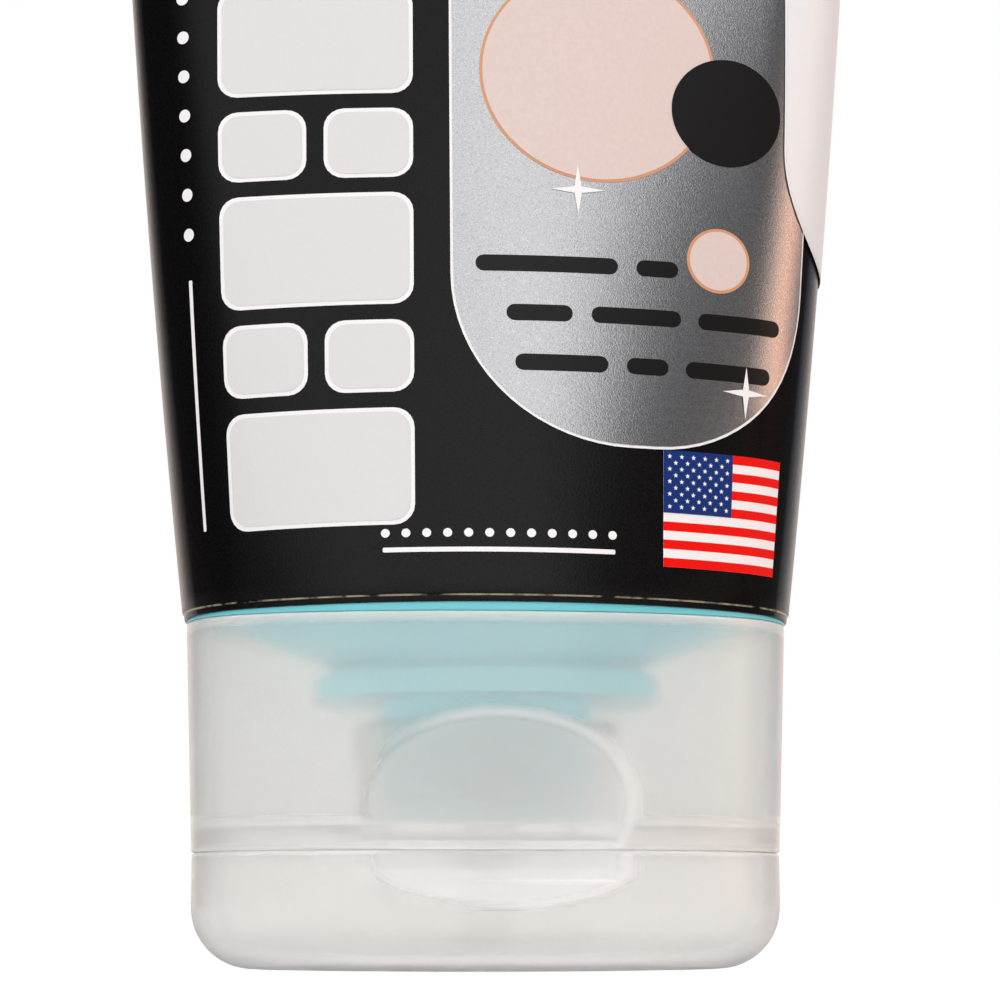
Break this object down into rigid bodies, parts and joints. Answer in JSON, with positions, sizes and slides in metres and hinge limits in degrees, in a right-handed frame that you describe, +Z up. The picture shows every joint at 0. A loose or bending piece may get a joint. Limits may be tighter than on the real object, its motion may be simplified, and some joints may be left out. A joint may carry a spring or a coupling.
{
  "type": "tongue gel tube",
  "caption": "Oval squeeze tube of gel with a crimped end and a translucent flip-top cap that it stands on.",
  "frame": {"origin": "centre of the bounding box's bottom, on the lid's flat end that the tube stands on", "axes": "+Z up along the tube, X along the wide axis of the oval, -Y towards the printed front and the thumb recess, +Y towards the lid's hinge"},
  "size_m": [0.063, 0.033, 0.148],
  "materials": {
    "printed_sleeve": "satin black print with silver foil fields on a laminate sleeve",
    "tinted_head": "translucent cyan polyethylene",
    "gel": "clear cyan gel",
    "frosted_cap": "frosted translucent polypropylene",
    "frosted_lid": "frosted translucent polypropylene",
    "hinge_plastic": "thin frosted polypropylene"
  },
  "bodies": {
    "tube": {"tube_sleeve": "printed_sleeve", "tube_head": "tinted_head", "gel_fill": "gel"},
    "cap": {"cap_base": "frosted_cap", "hinge_web": "hinge_plastic"},
    "lid": {"cap_lid": "frosted_lid"}
  },
  "joints": [
    {"name": "cap_off", "type": "slide", "parent": "tube", "child": "cap", "axis": [0, 0, -1], "range_m": [0, 0.012]},
    {"name": "lid_flip", "type": "hinge", "parent": "cap", "child": "lid", "pos_m": [0, 0.0161, 0.0086], "axis": [1, 0, 0], "range_deg": [0, 160], "deforming": ["hinge_web"]}
  ]
}
